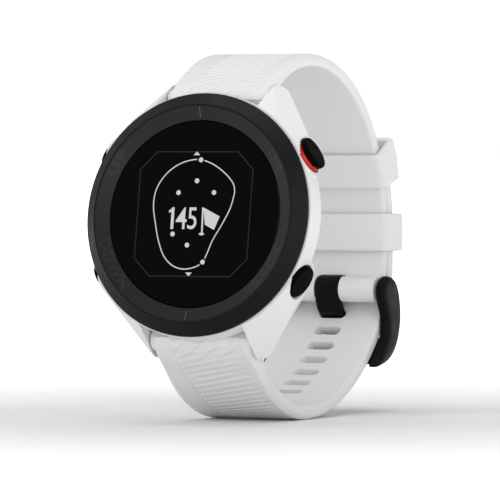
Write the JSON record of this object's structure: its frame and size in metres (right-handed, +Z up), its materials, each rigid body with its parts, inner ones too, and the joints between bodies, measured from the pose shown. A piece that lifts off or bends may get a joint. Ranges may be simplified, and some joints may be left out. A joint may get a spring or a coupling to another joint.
{
  "type": "golf gps watch",
  "caption": "Round golf GPS watch with a black bezel, side buttons and a white silicone band closed by a prong buckle and two keepers.",
  "frame": {"origin": "floor under the centre of the footprint, with the watch standing on its closed band", "axes": "+Z up; -Y the way the dial faces, leaned back 9 degrees; +X towards 3 o'clock"},
  "size_m": [0.044, 0.069, 0.0661],
  "materials": {
    "white_case": "fine satin moulding",
    "black_bezel": "satin black",
    "lens_glass": "polished",
    "black_foam": "matte",
    "seal_rubber": "matte",
    "rear_plastic": "satin",
    "steel_screw": "satin",
    "gold_contact": "plated",
    "display_panel": "smooth",
    "black_chassis": "matte",
    "flex_film": "smooth film",
    "antenna_strip": "rolled",
    "battery_foil": "foil",
    "circuit_board": "solder mask",
    "chip_package": "matte",
    "switch_metal": "satin",
    "bush_steel": "satin",
    "spring_steel": "drawn wire",
    "red_ring": "anodised red",
    "black_button": "satin black",
    "white_silicone": "soft matte",
    "black_buckle": "satin black"
  },
  "bodies": {
    "head": {"case_body": "white_case", "bezel": "black_bezel", "lens": "lens_glass", "lens_adhesive": "black_foam", "bezel_gasket": "seal_rubber", "rear_gasket": "seal_rubber", "rear_cover": "rear_plastic", "rear_cover_screws": "steel_screw", "charging_contacts": "gold_contact", "display_module": "display_panel", "display_frame": "black_chassis", "display_flex": "flex_film", "gps_antenna": "antenna_strip", "battery": "battery_foil", "battery_pad": "black_foam", "main_board": "circuit_board", "board_chips": "chip_package", "board_screws": "steel_screw", "side_switches": "switch_metal", "button_guides": "bush_steel", "button_seals": "seal_rubber", "button_springs": "spring_steel"},
    "ok_button": {"ok_button": "black_button", "ok_button_clip": "spring_steel", "ok_button_ring": "red_ring"},
    "back_button": {"back_button": "black_button", "back_button_clip": "spring_steel"},
    "up_button": {"up_button": "black_button", "up_button_clip": "spring_steel"},
    "down_button": {"down_button": "black_button", "down_button_clip": "spring_steel"},
    "upper_strap": {"strap_upper": "white_silicone", "keeper_lower": "white_silicone", "upper_spring_bar_tube": "bush_steel", "upper_spring_bar_fixed_pin": "bush_steel", "upper_spring_bar_spring": "spring_steel", "buckle_bar": "bush_steel"},
    "lower_strap": {"strap_lower": "white_silicone", "lower_spring_bar_tube": "bush_steel", "lower_spring_bar_fixed_pin": "bush_steel", "lower_spring_bar_spring": "spring_steel"},
    "upper_release": {"upper_spring_bar_release_pin": "bush_steel"},
    "lower_release": {"lower_spring_bar_release_pin": "bush_steel"},
    "buckle": {"buckle_frame": "black_buckle"},
    "prong": {"buckle_prong": "black_buckle"},
    "free_keeper": {"keeper_upper": "white_silicone"}
  },
  "joints": [
    {"name": "ok_press", "type": "slide", "parent": "head", "child": "ok_button", "axis": [-0.866, -0.0782, -0.4938], "range_m": [0, 0.0006], "stiffness_N_per_m": 1500, "springref_m": -0.0003, "deforming": ["button_springs"]},
    {"name": "back_press", "type": "slide", "parent": "head", "child": "back_button", "axis": [-0.866, 0.0782, 0.4938], "range_m": [0, 0.0006], "stiffness_N_per_m": 1500, "springref_m": -0.0003},
    {"name": "up_press", "type": "slide", "parent": "head", "child": "up_button", "axis": [0.866, -0.0782, -0.4938], "range_m": [0, 0.0006], "stiffness_N_per_m": 1500, "springref_m": -0.0003},
    {"name": "down_press", "type": "slide", "parent": "head", "child": "down_button", "axis": [0.866, 0.0782, 0.4938], "range_m": [0, 0.0006], "stiffness_N_per_m": 1500, "springref_m": -0.0003},
    {"name": "lower_strap_swing", "type": "hinge", "parent": "head", "child": "lower_strap", "pos_m": [0, -0.02654, 0.01489], "axis": [-1, 0, 0], "range_deg": [0, 40], "deforming": ["strap_lower"]},
    {"name": "upper_strap_swing", "type": "hinge", "parent": "head", "child": "upper_strap", "pos_m": [0, -0.01978, 0.05756], "axis": [1, 0, 0], "range_deg": [0, 60]},
    {"name": "buckle_swing", "type": "hinge", "parent": "upper_strap", "child": "buckle", "pos_m": [0, 0.02635, 0.02269], "axis": [1, 0, 0], "range_deg": [0, 30]},
    {"name": "prong_swing", "type": "hinge", "parent": "upper_strap", "child": "prong", "pos_m": [0, 0.02635, 0.02269], "axis": [1, 0, 0], "range_deg": [0, 40]},
    {"name": "free_keeper_slide", "type": "hinge", "parent": "upper_strap", "child": "free_keeper", "pos_m": [0, -0.002, 0.03375], "axis": [1, 0, 0], "range_deg": [-8.4, 12]},
    {"name": "upper_bar_release", "type": "slide", "parent": "upper_strap", "child": "upper_release", "axis": [-1, 0, 0], "range_m": [0, 0.0014], "stiffness_N_per_m": 500, "springref_m": -0.0005, "deforming": ["upper_spring_bar_spring"]},
    {"name": "lower_bar_release", "type": "slide", "parent": "lower_strap", "child": "lower_release", "axis": [-1, 0, 0], "range_m": [0, 0.0014], "stiffness_N_per_m": 500, "springref_m": -0.0005, "deforming": ["lower_spring_bar_spring"]}
  ],
  "couplings": [
    {"joint": "upper_strap_swing", "follows": "lower_strap_swing", "ratio": 1.5},
    {"joint": "buckle_swing", "follows": "lower_strap_swing", "ratio": 0.75},
    {"joint": "prong_swing", "follows": "lower_strap_swing", "ratio": 1}
  ]
}
